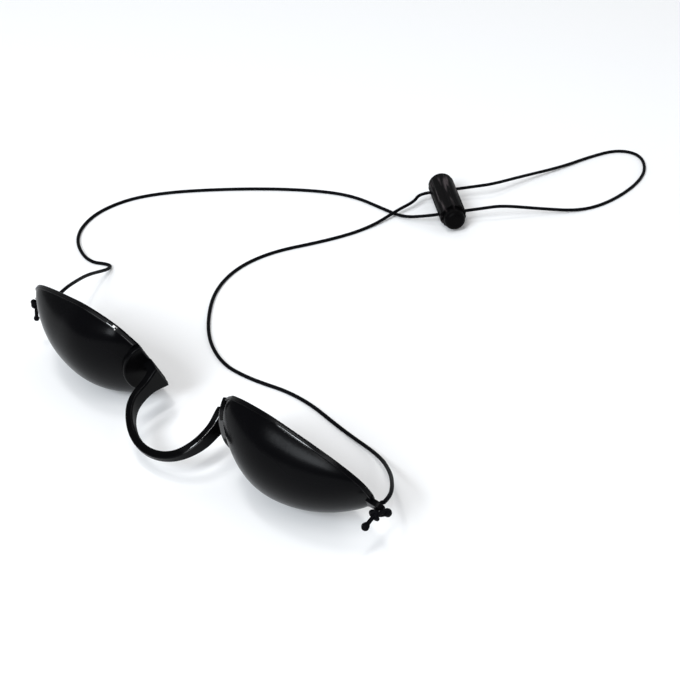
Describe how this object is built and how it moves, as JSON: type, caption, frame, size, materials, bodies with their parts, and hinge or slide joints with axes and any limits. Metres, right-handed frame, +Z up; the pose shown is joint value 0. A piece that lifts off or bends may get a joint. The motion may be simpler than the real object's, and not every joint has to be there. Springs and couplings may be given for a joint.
{
  "type": "tanning goggles",
  "caption": "Tanning goggles: deep opaque eye cups on an arched nose bridge, with an elastic cord knotted to both cups and a sliding push-button cord lock.",
  "frame": {"origin": "on the floor, under the middle of the box around the two cups and the nose bridge", "axes": "+X across the goggles towards the wearer's left cup, +Y towards the side of the cups' openings, where the cord lies, +Z up from the floor"},
  "size_m": [0.1813, 0.2365, 0.0323],
  "materials": {
    "cup_plastic": "polished black",
    "bridge_plastic": "soft gloss black",
    "lock_plastic": "satin black",
    "elastic_cord": "smooth dark elastic",
    "spring_steel": "drawn wire"
  },
  "bodies": {
    "goggles": {"left_eye_cup": "cup_plastic", "right_eye_cup": "cup_plastic", "nose_bridge": "bridge_plastic", "right_cord_run": "elastic_cord", "left_cord_run": "elastic_cord", "cord_back_loop": "elastic_cord", "right_strand_in_lock": "elastic_cord", "left_strand_in_lock": "elastic_cord", "left_cord_knot": "elastic_cord", "right_cord_knot": "elastic_cord", "left_cord_tail": "elastic_cord", "right_cord_tail": "elastic_cord"},
    "cord_lock": {"cord_lock_shell": "lock_plastic", "cord_lock_spring": "spring_steel"},
    "lock_button": {"cord_lock_button": "lock_plastic"}
  },
  "joints": [
    {"name": "cord_lock_slide", "type": "slide", "parent": "goggles", "child": "cord_lock", "axis": [0.6386, 0.7664, 0.0698], "range_m": [0, 0.007]},
    {"name": "lock_button_press", "type": "slide", "parent": "cord_lock", "child": "lock_button", "axis": [-0.7683, 0.6401, 0], "range_m": [0, 0.0014], "stiffness_N_per_m": 600, "springref_m": -0.002}
  ]
}
